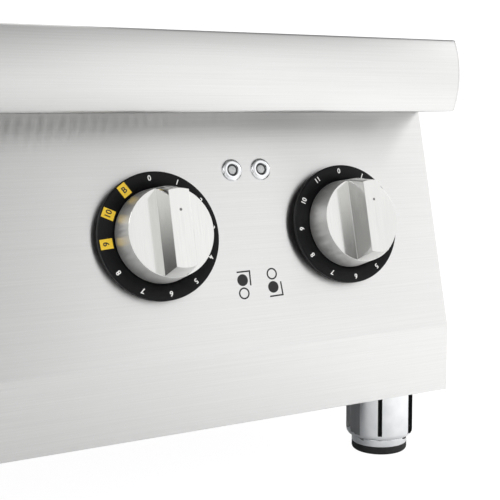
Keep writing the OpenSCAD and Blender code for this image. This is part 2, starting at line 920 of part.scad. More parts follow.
// Rotary power selectors behind the panel, their bushes passing through it
module selector_bodies() {
    chamber_r = 6.4;
    // how far the bush stands past its nut
    thread_end = 1;
    end_clear = 0.5;
    color("dimgray") for (x = knob_x) on_panel(x, knob_v) difference() {
        union() {
            translate([0, 0, -sheet - selector_l]) cylinder(r = selector_r, h = selector_l);
            translate([0, 0, -sheet - thread_end]) cylinder(r = bush_r, h = sheet + nut_h + 2 * thread_end);
        }
        translate([0, 0, shaft_in - end_clear - selector_l])
            cylinder(r = shaft_r + shaft_clear, h = selector_l + nut_h + through);
        translate([0, 0, collar_in - collar_clear - selector_l])
            cylinder(r = chamber_r, h = collar_t + 2 * collar_clear);
    }
}

module selector_nuts() {
    color("silver") for (x = knob_x) on_panel(x, knob_v) difference() {
        cylinder(r = nut_r, h = nut_h, $fn = 6);
        translate([0, 0, -through]) cylinder(r = bush_r + nut_clear, h = nut_h + 2 * through);
    }
}

// ---- pilot lamps ----

lamp_ring_t = 1.8;
lamp_l = 10;
lens_l = 8;

// Chrome ring with a domed edge and a body that passes through the panel
module lamp_bezels() {
    edge_r = 1.1;
    color("silver") for (x = lamp_x) on_panel(x, lamp_v) rotate_extrude() polygon(concat(
        [
            [lamp_bore, -lamp_l],
            [lamp_body_r - lamp_clear, -lamp_l],
            [lamp_body_r - lamp_clear, 0],
            [lamp_r, 0]
        ],
        arc([lamp_r - edge_r, lamp_ring_t - edge_r], edge_r, 0, 90, 5),
        [[lamp_bore + 1, lamp_ring_t], [lamp_bore, lamp_ring_t - 1]]
    ));
}

// Lens, domed at its front, in the ring's bore
module lamp_lenses() {
    lens_r = lamp_bore - lens_clear;
    dome_r = 6;
    dome_z = sqrt(pow(dome_r, 2) - pow(lens_r, 2));
    color("whitesmoke") for (x = lamp_x) on_panel(x, lamp_v) intersection() {
        translate([0, 0, -lens_l]) cylinder(r = lens_r, h = 2 * lens_l);
        translate([0, 0, -dome_z]) union() {
            sphere(r = dome_r);
            translate([0, 0, -lens_l]) cylinder(r = dome_r, h = lens_l);
        }
    }
}

// ---- feet ----

module at_foot(n) {
    in_casing() translate([foot_places[n - 1].x, foot_places[n - 1].y, 0]) children();
}

// Chrome sleeves fixed under the base plate, rounded in at the bottom, with a threaded collar inside
module foot_sleeves() {
    round_r = sleeve_r - ring_r - 0.3;
    color("silver") for (n = [1:4]) at_foot(n) rotate_extrude() polygon(concat(
        [[stem_r + stem_clear, sleeve_z]],
        arc([sleeve_r - round_r, sleeve_z + round_r], round_r, 270, 360, 8),
        [
            [sleeve_r, foot_h],
            [sleeve_r - sleeve_wall, foot_h],
            [sleeve_r - sleeve_wall, sleeve_z + collar_h],
            [stem_r + stem_clear, sleeve_z + collar_h]
        ]
    ));
}

// Stem that screws into the sleeve's collar, with the chrome ring under it
module foot_insert(n) {
    color("silver") at_foot(n) union() {
        translate([0, 0, rubber_h]) cylinder(r = ring_r, h = ring_h);
        translate([0, 0, rubber_h + ring_h / 2]) cylinder(r = stem_r, h = stem_top - rubber_h - ring_h / 2);
    }
}

module foot_insert_1() {
    foot_insert(1);
}

module foot_insert_2() {
    foot_insert(2);
}

module foot_insert_3() {
    foot_insert(3);
}

module foot_insert_4() {
    foot_insert(4);
}

// Rubber base, rounded where it meets the floor
module foot_pad(n) {
    round_r = 2.5;
    color([0.1, 0.1, 0.1]) at_foot(n) rotate_extrude() polygon(concat(
        [[0, 0]],
        arc([ring_r - round_r, round_r], round_r, 270, 360, 6),
        [[ring_r, rubber_h], [0, rubber_h]]
    ));
}

module foot_pad_1() {
    foot_pad(1);
}

module foot_pad_2() {
    foot_pad(2);
}

module foot_pad_3() {
    foot_pad(3);
}

module foot_pad_4() {
    foot_pad(4);
}

// ---- air filter ----

// Frame with a front pull lip
module filter_cassette() {
    color("silver") in_casing() translate([0, filter_y, filter_z]) union() {
        ring_plate(filter_w, filter_d, filter_w - 2 * filter_frame, filter_d - 2 * filter_frame, filter_t);
        translate([0, -filter_d / 2 - 1, -4]) linear_extrude(filter_t + 3.5)
            square([filter_w / 3, 2], center = true);
    }
}

// Two layers of expanded mesh, pressed into the cassette
module filter_mesh() {
    color("gray") in_casing() translate([0, filter_y, filter_z + 2]) difference() {
        linear_extrude(filter_t - 4)
            square([filter_w - 2 * filter_frame, filter_d - 2 * filter_frame], center = true);
        translate([0, 0, -1]) linear_extrude(filter_t) intersection() {
            square([filter_w - 4 * filter_frame, filter_d - 4 * filter_frame], center = true);
            slots(filter_w - 4 * filter_frame, filter_d);
        }
    }
}

// C-shaped rails under the base plate, one at each end of the cassette
module filter_rails() {
    rail_h = filter_t + 2 * filter_clear + rail_sheet;
    color("silver") in_casing() for (side = [-1, 1])
        translate([side * (filter_w / 2 + filter_clear), filter_y - filter_d / 2, base_z - rail_h])
            rotate([90, 0, 180]) mirror([side > 0 ? 1 : 0, 0, 0])
                linear_extrude(filter_d) polygon([
                    [-rail_lip, 0],
                    [rail_sheet, 0],
                    [rail_sheet, rail_h],
                    [0, rail_h],
                    [0, rail_sheet],
                    [-rail_lip, rail_sheet]
                ]);
}

worktop();
bullnose_end_caps();
control_panel();
side_panel_left();
side_panel_right();
rear_panel();
base_plate();
glass_plate();
glass_seal();
glass_support_frame();
coil_winding_front_left();
coil_winding_front_right();
coil_winding_rear_left();
coil_winding_rear_right();
coil_formers();
ferrite_bars();
mica_sheets();
zone_sensors();
sensor_bushes();
coil_tray();
generator_boards();
heat_sinks();
power_components();
fan_frames();
fan_rotor_left();
fan_rotor_right();
filter_board();
terminal_block();
cable_gland();
gland_locknut();
control_board();
knob_1();
knob_2();
knob_3();
knob_4();
dial_plate_1();
dial_plate_2();
dial_plate_3();
dial_plate_4();
selector_shaft_1();
selector_shaft_2();
selector_shaft_3();
selector_shaft_4();
selector_bodies();
selector_nuts();
lamp_bezels();
lamp_lenses();
foot_sleeves();
foot_insert_1();
foot_insert_2();
foot_insert_3();
foot_insert_4();
foot_pad_1();
foot_pad_2();
foot_pad_3();
foot_pad_4();
filter_cassette();
filter_mesh();
filter_rails();
casing_screws();
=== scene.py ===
import json
import math
import bmesh
import bpy
from mathutils import Matrix, Vector


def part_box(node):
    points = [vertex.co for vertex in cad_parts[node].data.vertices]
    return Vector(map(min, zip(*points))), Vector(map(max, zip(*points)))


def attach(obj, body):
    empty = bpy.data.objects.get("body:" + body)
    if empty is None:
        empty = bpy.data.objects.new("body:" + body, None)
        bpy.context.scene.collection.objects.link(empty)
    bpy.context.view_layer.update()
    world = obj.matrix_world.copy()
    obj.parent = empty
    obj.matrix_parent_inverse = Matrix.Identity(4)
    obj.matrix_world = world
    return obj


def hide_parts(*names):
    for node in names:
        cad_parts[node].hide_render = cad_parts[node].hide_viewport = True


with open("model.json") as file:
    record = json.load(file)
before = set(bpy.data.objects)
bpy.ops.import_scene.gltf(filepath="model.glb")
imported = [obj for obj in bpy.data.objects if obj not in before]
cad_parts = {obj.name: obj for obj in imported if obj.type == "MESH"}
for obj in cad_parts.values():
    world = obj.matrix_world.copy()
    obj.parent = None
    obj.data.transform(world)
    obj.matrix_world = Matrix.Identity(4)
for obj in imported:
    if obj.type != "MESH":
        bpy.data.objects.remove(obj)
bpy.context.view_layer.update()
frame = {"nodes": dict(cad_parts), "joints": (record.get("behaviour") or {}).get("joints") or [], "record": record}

nodes = frame["nodes"]
mm = 0.001
foldUp = 47.4 * mm  # the upright strip of the control panel, up to the bend
scene = bpy.context.scene


def hexLinear(code):  # sRGB hex to the linear values that the shaders take
    parts = [int(code[i:i + 2], 16) / 255 for i in (1, 3, 5)]
    return tuple(p / 12.92 if p <= 0.04045 else ((p + 0.055) / 1.055) ** 2.4 for p in parts) + (1.0,)


def addNode(tree, kind, settings=None, links=None):
    # settings: attributes or sockets; links: socket to output
    made = tree.nodes.new(kind)
    for name, value in (settings or {}).items():
        if isinstance(name, str) and hasattr(made, name):
            setattr(made, name, value)
        else:
            made.inputs[name].default_value = value
    for name, source in (links or {}).items():
        tree.links.new(source, made.inputs[name])
    return made


def mathNode(tree, operation, *terms):  # terms: outputs or plain numbers
    links = {i: term for i, term in enumerate(terms) if isinstance(term, bpy.types.NodeSocket)}
    numbers = {i: term for i, term in enumerate(terms) if i not in links}
    return addNode(tree, "ShaderNodeMath", {"operation": operation, **numbers}, links)


def ranged(tree, source, start, end=(0.0, 1.0)):
    # A value mapped from one span to another, held at its ends
    limits = {"From Min": start[0], "From Max": start[1], "To Min": end[0], "To Max": end[1]}
    return addNode(tree, "ShaderNodeMapRange", limits, {"Value": source})


def boxCorners(node):
    return [Vector(corner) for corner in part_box(node)]


def jointNamed(name):
    return next(joint for joint in frame["joints"] if joint["name"] == name)


# The casing's own measures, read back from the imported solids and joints
panelTilt = math.asin(-jointNamed("knob_1_turn")["axis"][2])
slopeUp = Vector((0, math.sin(panelTilt), math.cos(panelTilt)))
slopeOut = Vector((0, -math.cos(panelTilt), math.sin(panelTilt)))
sideways = Vector((1, 0, 0))
knobAt = {n: Vector(jointNamed(f"knob_{n}_turn")["pos_m"]) for n in (1, 2, 3, 4)}
panelLow, panelHigh = boxCorners("control_panel")
glassLow, glassHigh = boxCorners("glass_plate")
coilLow, coilHigh = boxCorners("coil_winding_front_right")
frontY = panelLow.y
foldZ = panelLow.z + foldUp
glassMiddle = (glassLow + glassHigh) / 2
zoneX = (coilLow.x + coilHigh.x) / 2
zoneY = abs((coilLow.y + coilHigh.y) / 2 - glassMiddle.y)


def panelFrame(x, up, out=0.0, turn=0.0):  # local X across, Y up the slope, Z out of the face
    place = Vector((x, frontY, foldZ)) + slopeUp * up + slopeOut * out
    base = Matrix((sideways, slopeUp, slopeOut)).transposed().to_4x4()
    return Matrix.Translation(place) @ base @ Matrix.Rotation(turn, 4, "Z")


knobUp = (knobAt[1] - Vector((knobAt[1].x, frontY, foldZ))).dot(slopeUp)

cameraPlan = {
    "place": (-175.3 * mm, -570.7 * mm, 246.5 * mm),  # Y from the lower front face
    "yaw": 28.71,
    "pitch": 7.29,
    "roll": -0.42,
    "lens": 73.71,
    "sensor": 36,
    "near": 0.01,
}


def makeCamera(plan):
    data = bpy.data.cameras.new("camera")
    data.lens = plan["lens"]
    data.sensor_width = plan["sensor"]
    data.clip_start = plan["near"]
    camera = bpy.data.objects.new("camera", data)
    scene.collection.objects.link(camera)
    yaw, pitch, roll = (math.radians(plan[k]) for k in ("yaw", "pitch", "roll"))
    ahead = Vector((math.sin(yaw) * math.cos(pitch), math.cos(yaw) * math.cos(pitch), -math.sin(pitch)))
    right = Vector((math.cos(yaw), -math.sin(yaw), 0))
    up = right.cross(ahead)
    tiltedRight = math.cos(roll) * right + math.sin(roll) * up
    tiltedUp = math.cos(roll) * up - math.sin(roll) * right
    turn = Matrix((tiltedRight, tiltedUp, -ahead)).transposed()
    place = Vector(plan["place"]) + Vector((0, frontY, 0))
    camera.matrix_world = Matrix.Translation(place) @ turn.to_4x4()
    scene.camera = camera


paperWhite = 1.15  # strength of the background and of the floor as the camera sees them
floorPlan = {
    "reach": 6.0,
    "glow": 0.85,
    "rough": 0.9,
    "shine": 0.1,
    "shade": ((0.05, 0.4), (0.7, 1.0)),  # painted shade on the paper, darker to the left: from where to where, and how dark
}


def makeFloor(plan):
    # White paper, lit from under as well, so that its shadows stay faint
    size = plan["reach"]
    mesh = bpy.data.meshes.new("floor")
    corners = [(-size, -size, 0), (size, -size, 0), (size, size, 0), (-size, size, 0)]
    mesh.from_pydata(corners, [], [(0, 1, 2, 3)])
    floor = bpy.data.objects.new("floor", mesh)
    scene.collection.objects.link(floor)
    made = bpy.data.materials.new("paperSweep")
    made.use_nodes = True
    tree = made.node_tree
    shader = tree.nodes["Principled BSDF"]
    shader.inputs["Roughness"].default_value = plan["rough"]
    shader.inputs["Specular IOR Level"].default_value = plan["shine"]
    glow = addNode(tree, "ShaderNodeEmission", {"Strength": paperWhite})
    coords = addNode(tree, "ShaderNodeTexCoord")
    parts = addNode(tree, "ShaderNodeSeparateXYZ", links={0: coords.outputs["Object"]})
    # The paper's colour darkens to the left: painted shade, which the metal mirrors
    shade = ranged(tree, parts.outputs["X"], *plan["shade"])
    tint = addNode(tree, "ShaderNodeCombineColor", links={i: shade.outputs[0] for i in range(3)})
    tree.links.new(tint.outputs[0], shader.inputs["Base Color"])
    path = addNode(tree, "ShaderNodeLightPath")
    share = mathNode(tree, "MULTIPLY", path.outputs["Is Camera Ray"], plan["glow"])
    mix = addNode(tree, "ShaderNodeMixShader",
                  links={0: share.outputs[0], 1: shader.outputs[0], 2: glow.outputs[0]})
    tree.links.new(mix.outputs[0], tree.nodes["Material Output"].inputs["Surface"])
    mesh.materials.append(made)


# Across the tent, -1 at the far left to 1 at the far right: how bright its wall is
tentWall = [(-1.0, 0.9), (-0.6, 1.0), (-0.25, 0.95), (0.1, 0.5), (0.27, 0.66), (0.35, 0.88), (0.43, 1.0),
            (0.5, 0.98), (0.6, 0.92), (1.0, 0.82)]
tentPlan = {
    "front": 1.22,
    "behind": 0.16,
    "roof": 0.36,
    "plain": 1.0,
    "stand": 0.06,
    # the rest are parts of a direction: where each light level fades into the next
    "sideFade": (0.12, -0.12),
    "roofFade": (0.38, 0.85),
    "standAcross": -0.54,
    "standFade": (0.13, 0.2),
    "standTopFade": (0.275, 0.325),
}


def makeWorld(plan):
    # A white tent: bright in front of the unit, darker overhead and behind it
    world = bpy.data.worlds.new("tent")
    scene.world = world
    world.use_nodes = True
    tree = world.node_tree
    tree.nodes.clear()
    coords = addNode(tree, "ShaderNodeTexCoord")
    parts = addNode(tree, "ShaderNodeSeparateXYZ", links={0: coords.outputs["Generated"]})
    front = ranged(tree, parts.outputs["Y"], plan["sideFade"], (plan["behind"], plan["front"]))
    wall = ranged(tree, parts.outputs["X"], (-1.0, 1.0))
    shade = addNode(tree, "ShaderNodeValToRGB", links={0: wall.outputs[0]})
    ramp = shade.color_ramp
    while len(ramp.elements) < len(tentWall):
        ramp.elements.new(0.5)
    for stop, (x, level) in zip(ramp.elements, tentWall):
        stop.position = (x + 1) / 2
        stop.color = (level, level, level, 1)
    roof = ranged(tree, parts.outputs["Z"], plan["roofFade"], (1.0, plan["roof"]))
    # The camera and its stand, low in front and to the left: dark
    across = mathNode(tree, "ADD", parts.outputs["X"], -plan["standAcross"])
    beside = mathNode(tree, "ABSOLUTE", across.outputs[0])
    clear = ranged(tree, beside.outputs[0], plan["standFade"])
    above = ranged(tree, parts.outputs["Z"], plan["standTopFade"])
    openWall = mathNode(tree, "MAXIMUM", clear.outputs[0], above.outputs[0])
    stand = ranged(tree, openWall.outputs[0], (0.0, 1.0), (plan["stand"], 1.0))
    lit = mathNode(tree, "MULTIPLY", shade.outputs[0], stand.outputs[0])
    sides = mathNode(tree, "MULTIPLY", front.outputs[0], lit.outputs[0])
    whole = mathNode(tree, "MULTIPLY", sides.outputs[0], roof.outputs[0])
    bright = addNode(tree, "ShaderNodeBackground", links={"Strength": whole.outputs[0]})
    bright.inputs["Color"].default_value = (1, 1, 1, 1)
    plain = addNode(tree, "ShaderNodeBackground", {"Color": (1, 1, 1, 1), "Strength": plan["plain"]})
    white = addNode(tree, "ShaderNodeBackground", {"Color": (1, 1, 1, 1), "Strength": paperWhite})
    path = addNode(tree, "ShaderNodeLightPath")
    seen = addNode(tree, "ShaderNodeMixShader",
                   links={0: path.outputs["Is Camera Ray"], 1: plain.outputs[0], 2: white.outputs[0]})
    mix = addNode(tree, "ShaderNodeMixShader",
                  links={0: path.outputs["Is Glossy Ray"], 1: seen.outputs[0], 2: bright.outputs[0]})
    addNode(tree, "ShaderNodeOutputWorld", links={"Surface": mix.outputs[0]})


lampPlans = {
    "keyBox": {"place": (-2.0, -1.1, 1.9), "size": 1.0, "power": 12},
    "fillBox": {"place": (2.2, -1.2, 1.4), "size": 1.2, "power": 5},
    "topBox": {"place": (0.0, 0.3, 2.2), "size": 1.6, "power": 10},
    "backBox": {"place": (0.8, 2.0, 1.4), "size": 1.4, "power": 9},
}
lampAim = Vector((0, -0.1, 0.15))


def makeLights(plans):
    for name, plan in plans.items():
        data = bpy.data.lights.new(name, "AREA")
        data.shape = "SQUARE"
        data.size = plan["size"]
        data.energy = plan["power"]
        lamp = bpy.data.objects.new(name, data)
        scene.collection.objects.link(lamp)
        place = Vector(plan["place"])
        aim = (lampAim - place).to_track_quat("-Z", "Y")
        lamp.matrix_world = Matrix.Translation(place) @ aim.to_matrix().to_4x4()


# Each card runs through points (right of, behind) the foot's middle, in millimetres
flagPlan = {
    "tall": 42 * mm,
    "lift": 0.5 * mm,
    "cards": {"greyFlag": ("#8a8a8a", ((-47, -1), (-47, 60), (38, 60))),
              "blackFlag": ("#0a0a0a", ((38, 60), (38, -25)))},
    "strip": {"near": 62 * mm, "wide": 13 * mm, "aside": -5 * mm, "cloth": "#0a0a0a"},
}


def makeFlag(name, cloth, line, tall):
    points = [p + Vector((0, 0, z)) for p in line for z in (flagPlan["lift"], tall)]
    faces = [(i, i + 1, i + 3, i + 2) for i in range(0, len(points) - 2, 2)]
    mesh = bpy.data.meshes.new(name)
    mesh.from_pydata(points, [], faces)
    made = bpy.data.materials.new(name + "Card")
    made.use_nodes = True
    shader = made.node_tree.nodes["Principled BSDF"]
    shader.inputs["Base Color"].default_value = hexLinear(cloth)
    shader.inputs["Roughness"].default_value = 1.0
    mesh.materials.append(made)
    flag = bpy.data.objects.new(name, mesh)
    scene.collection.objects.link(flag)
    flag.visible_camera = flag.visible_diffuse = flag.visible_shadow = False


def makeFlags(plan):
    # Dark cards round the front right foot that only mirrors see: painted reflections of shade, they draw the dark
    # bands in its chrome
    low, high = boxCorners("foot_insert_2")
    foot = Vector(((low.x + high.x) / 2, (low.y + high.y) / 2, 0))
    for name, (cloth, line) in plan["cards"].items():
        makeFlag(name, cloth, [foot + Vector((x * mm, y * mm, 0)) for x, y in line], plan["tall"])
    yaw = math.radians(cameraPlan["yaw"])
    toCamera = Vector((-math.sin(yaw), -math.cos(yaw), 0))
    acrossIt = Vector((math.cos(yaw), -math.sin(yaw), 0))
    strip = plan["strip"]
    middle = foot + toCamera * strip["near"] + acrossIt * strip["aside"]
    ends = [middle - acrossIt * strip["wide"] / 2, middle + acrossIt * strip["wide"] / 2]
    makeFlag("stripFlag", strip["cloth"], ends, plan["tall"])


makeCamera(cameraPlan)
makeFlags(flagPlan)
makeFloor(floorPlan)
makeWorld(tentPlan)
makeLights(lampPlans)
scene.view_settings.view_transform = "Standard"
print("stage set")


def startMaterial(name):
    made = bpy.data.materials.new(name)
    made.use_nodes = True
    tree = made.node_tree
    shader = tree.nodes["Principled BSDF"]
    coords = addNode(tree, "ShaderNodeTexCoord")
    return made, tree, shader, coords


def toneRamp(tree, source, dark, light, low=0.3, high=0.7):  # two colours over a pattern
    tone = addNode(tree, "ShaderNodeValToRGB", links={0: source})
    first, last = tone.color_ramp.elements
    first.position, last.position = low, high
    first.color, last.color = hexLinear(dark), hexLinear(light)
    return tone.outputs[0]


brushPlan = {"cloud": 60 * mm, "patch": 0.02, "depth": 0.5 * mm}


def brushedSteel(name, look):  # a mesh may carry its own smear direction and extra roughness as attributes
    # Brushed stainless sheet: long fine scratches that smear reflections across the grain
    made, tree, shader, coords = startMaterial(name)
    shader.inputs["Metallic"].default_value = 1.0
    shader.inputs["Anisotropic"].default_value = look["smear"]
    grain = addNode(tree, "ShaderNodeMapping", {"Scale": look["grain"]},
                    {"Vector": coords.outputs["Object"]})
    scratches = addNode(tree, "ShaderNodeTexNoise", {"Scale": 1.0, "Detail": 3.0, "Roughness": 0.6},
                        {"Vector": grain.outputs[0]})
    cloud = addNode(tree, "ShaderNodeTexNoise", {"Scale": 1 / brushPlan["cloud"], "Detail": 1.0},
                    {"Vector": coords.outputs["Object"]})
    gloss = ranged(tree, scratches.outputs["Fac"], (0.0, 1.0), look["rough"])
    patch = ranged(tree, cloud.outputs["Fac"], (0.0, 1.0), (-brushPlan["patch"], brushPlan["patch"]))
    roughness = mathNode(tree, "ADD", gloss.outputs[0], patch.outputs[0])
    relief = addNode(tree, "ShaderNodeBump", {"Strength": look["relief"], "Distance": brushPlan["depth"]},
                     {"Height": scratches.outputs["Fac"]})
    turn = addNode(tree, "ShaderNodeVectorTransform", {"vector_type": "VECTOR", "convert_from": "OBJECT",
                                                       "convert_to": "WORLD"})
    if look["smearAlong"]:
        turn.inputs[0].default_value = look["smearAlong"]
    else:
        along = addNode(tree, "ShaderNodeAttribute", {"attribute_name": "smearAlong"})
        tree.links.new(along.outputs["Vector"], turn.inputs[0])
        coarse = addNode(tree, "ShaderNodeAttribute", {"attribute_name": "coarseness"})
        roughness = mathNode(tree, "ADD", roughness.outputs[0], coarse.outputs["Fac"])
    tree.links.new(toneRamp(tree, scratches.outputs["Fac"], *look["tones"]), shader.inputs["Base Color"])
    tree.links.new(roughness.outputs[0], shader.inputs["Roughness"])
    tree.links.new(relief.outputs[0], shader.inputs["Normal"])
    tree.links.new(turn.outputs[0], shader.inputs["Tangent"])
    return made


steelLooks = {
    # grain: strokes about 80 mm long, drawn 0.9 mm apart so that they show; smearAlong: across the strokes
    "brushedStainlessSheet": {"tones": ("#dfdfde", "#e5e5e4"), "rough": (0.27, 0.33), "smear": 0.92,
                              "relief": 0.006, "grain": (12, 1100, 1100), "smearAlong": (0, 0.6, 0.8)},
    "brushedStainlessSides": {"tones": ("#dfdfde", "#e5e5e4"), "rough": (0.27, 0.33), "smear": 0.9,
                              "relief": 0.006, "grain": (1100, 12, 1100), "smearAlong": (0, 0, 1)},
    # Undersides of the folds: darker, duller steel, painted shade under the overhang
    "paintedShadeUnderside": {"tones": ("#a4a4a3", "#aeaead"), "rough": (0.42, 0.5), "smear": 0.3,
                            "relief": 0.01, "grain": (60, 900, 900), "smearAlong": (0, 1, 0)},
    # A cast and ground knob: short strokes along the grip, turned round its side
    "satinGroundKnobMetal": {"tones": ("#dadad8", "#e0e0de"), "rough": (0.1, 0.14), "smear": 0.6,
                             "relief": 0.004, "grain": (1600, 60, 60), "smearAlong": None},
}
steels = [brushedSteel(name, look) for name, look in steelLooks.items()]
steelSheet, steelSides, paintedShadeSteel, knobMetal = steels


glossSpread = (0.85, 1.15)  # the patches of a finish, as shares of its roughness
toothDeep = 0.2 * mm


def mouldedOrPlain(name, look):
    # One finish with a fine cloud in its tone, gloss and surface
    made, tree, shader, coords = startMaterial(name)
    shader.inputs["Metallic"].default_value = look.get("metal", 0.0)
    shader.inputs["Coat Weight"].default_value = look.get("coat", 0.0)
    if "ior" in look:
        shader.inputs["IOR"].default_value = look["ior"]
    cloud = addNode(tree, "ShaderNodeTexNoise", {"Scale": 1 / (look["grain"] * mm), "Detail": 2.0},
                    {"Vector": coords.outputs["Object"]})
    gloss = ranged(tree, cloud.outputs["Fac"], (0.0, 1.0), [look["rough"] * share for share in glossSpread])
    relief = addNode(tree, "ShaderNodeBump", {"Strength": look.get("relief", 0.05), "Distance": toothDeep},
                     {"Height": cloud.outputs["Fac"]})
    tree.links.new(toneRamp(tree, cloud.outputs["Fac"], *look["tones"]), shader.inputs["Base Color"])
    tree.links.new(gloss.outputs[0], shader.inputs["Roughness"])
    tree.links.new(relief.outputs[0], shader.inputs["Normal"])
    return made


plainLooks = {
    # Plated brass: a mirror with the faintest ripple
    "polishedChrome": {"tones": ("#e4e6e8", "#f0f1f2"), "rough": 0.05, "metal": 1.0, "grain": 9,
                       "relief": 0.01},
    # Screen-printed inks: flat, slightly uneven
    "whiteInk": {"tones": ("#eeeeec", "#fafaf8"), "rough": 0.5, "grain": 0.6},
    "blackInk": {"tones": ("#101010", "#1c1c1c"), "rough": 0.45, "grain": 0.6},
    "yellowInk": {"tones": ("#ecc021", "#f8d336"), "rough": 0.45, "grain": 0.8},
    # Frosted polycarbonate over an unlit lamp
    "frostedLens": {"tones": ("#c3c6c6", "#d6d8d8"), "rough": 0.28, "grain": 1.5, "coat": 0.3, "ior": 1.58},
    "darkGasket": {"tones": ("#2b2d2e", "#3a3c3d"), "rough": 0.5, "grain": 0.8},
    # Moulded rubber, matt with a fine tooth
    "mouldedRubber": {"tones": ("#121212", "#1d1d1d"), "rough": 0.6, "grain": 0.7, "relief": 0.2},
    # Silicone bead, smoothed by hand: a soft sheen
    "greySilicone": {"tones": ("#2c2d2e", "#37393a"), "rough": 0.42, "grain": 4, "relief": 0.1},
    "redSilicone": {"tones": ("#8c2a20", "#a13327"), "rough": 0.45, "grain": 3},
    "glassFilledMoulding": {"tones": ("#cfc7b0", "#ddd6c1"), "rough": 0.5, "grain": 1.2, "relief": 0.1},
    "sinteredFerrite": {"tones": ("#2a2c2e", "#3b3e40"), "rough": 0.55, "grain": 0.5, "relief": 0.25},
    # Pressed mica flakes: pale gold with silver glints
    "pressedMica": {"tones": ("#a98f56", "#d5c08c"), "rough": 0.35, "grain": 5, "relief": 0.08,
                    "coat": 0.2},
    "firedAlumina": {"tones": ("#e8e6df", "#f4f2ec"), "rough": 0.3, "grain": 1.0},
    # Mill-finish aluminium: cool, dull grey
    "millAluminium": {"tones": ("#b9bbbe", "#cfd1d3"), "rough": 0.36, "metal": 1.0, "grain": 3,
                      "relief": 0.06},
    "darkEpoxyCases": {"tones": ("#17191c", "#26292d"), "rough": 0.4, "grain": 1.0, "relief": 0.06},
    "fanMoulding": {"tones": ("#1a1b1c", "#262829"), "rough": 0.48, "grain": 0.8, "relief": 0.08},
    "terminalPolyamide": {"tones": ("#d8d2c0", "#e6e1d1"), "rough": 0.45, "grain": 1.0},
    "glandPolyamide": {"tones": ("#33363a", "#42464a"), "rough": 0.5, "grain": 0.8, "relief": 0.12},
    # Turned brass, nickel plated: warm grey
    "platedBrass": {"tones": ("#b8ac90", "#cec4ac"), "rough": 0.25, "metal": 1.0, "grain": 1.5},
    "turnedSteel": {"tones": ("#a9abad", "#c2c4c6"), "rough": 0.3, "metal": 1.0, "grain": 1.0},
    # Zinc plate: bluish, with a faint cloudy bloom
    "brightZincPlate": {"tones": ("#b4bac2", "#ccd1d7"), "rough": 0.26, "metal": 1.0, "grain": 4},
    "punchMark": {"tones": ("#686867", "#7a7a79"), "rough": 0.5, "grain": 0.5},
}
looks = {name: mouldedOrPlain(name, look) for name, look in plainLooks.items()}

spunPlan = {"tones": ("#0e0e0f", "#161618"), "rough": (0.3, 0.42), "rings": 0.5 * mm, "smear": 0.9,
            "shine": 0.16, "relief": 0.03}


def spunBlackDisc(plan):
    # Black disc turned on a lathe: its rings spread a highlight into a wedge
    made, tree, shader, coords = startMaterial("spunBlackDisc")
    shader.inputs["Anisotropic"].default_value = plan["smear"]
    shader.inputs["Specular IOR Level"].default_value = plan["shine"]
    outward = addNode(tree, "ShaderNodeAttribute", {"attribute_name": "outward"})
    reach = addNode(tree, "ShaderNodeVectorMath", {"operation": "LENGTH"}, {0: outward.outputs["Vector"]})
    rings = mathNode(tree, "MULTIPLY", reach.outputs["Value"], 1 / plan["rings"])
    lathe = addNode(tree, "ShaderNodeTexNoise", {"noise_dimensions": "1D", "Detail": 3.0},
                    {"W": rings.outputs[0]})
    gloss = ranged(tree, lathe.outputs["Fac"], (0.0, 1.0), plan["rough"])
    relief = addNode(tree, "ShaderNodeBump", {"Strength": plan["relief"], "Distance": toothDeep},
                     {"Height": lathe.outputs["Fac"]})
    tree.links.new(toneRamp(tree, lathe.outputs["Fac"], *plan["tones"]), shader.inputs["Base Color"])
    tree.links.new(gloss.outputs[0], shader.inputs["Roughness"])
    tree.links.new(relief.outputs[0], shader.inputs["Normal"])
    tree.links.new(outward.outputs["Vector"], shader.inputs["Tangent"])
    return made


dialDisc = spunBlackDisc(spunPlan)


def zoneReach(tree, coords):  # distance from the middle of the nearest cooking zone, seen from above
    parts = addNode(tree, "ShaderNodeSeparateXYZ", links={0: coords.outputs["Object"]})
    flat = []
    for axis, middle, offset in (("X", 0.0, zoneX), ("Y", glassMiddle.y, zoneY)):
        moved = mathNode(tree, "SUBTRACT", parts.outputs[axis], middle)
        folded = mathNode(tree, "ABSOLUTE", moved.outputs[0])
        near = mathNode(tree, "SUBTRACT", folded.outputs[0], offset)
        flat.append(near.outputs[0])
    joined = addNode(tree, "ShaderNodeCombineXYZ", links={"X": flat[0], "Y": flat[1]})
    return addNode(tree, "ShaderNodeVectorMath", {"operation": "LENGTH"},
                   {0: joined.outputs[0]}).outputs["Value"]


glassPlan = {"ringRadii": (110 * mm, 70 * mm), "line": 1.6 * mm, "ink": "#8f9294",
             "tones": ("#040405", "#09090a"), "speck": 3 * mm, "rough": (0.05, 0.4), "ior": 1.54,
             "coat": 0.5, "coatRough": 0.03}
colourA, colourB, colourOut = 6, 7, 2  # a Mix node's colour sockets, whose names its number sockets share


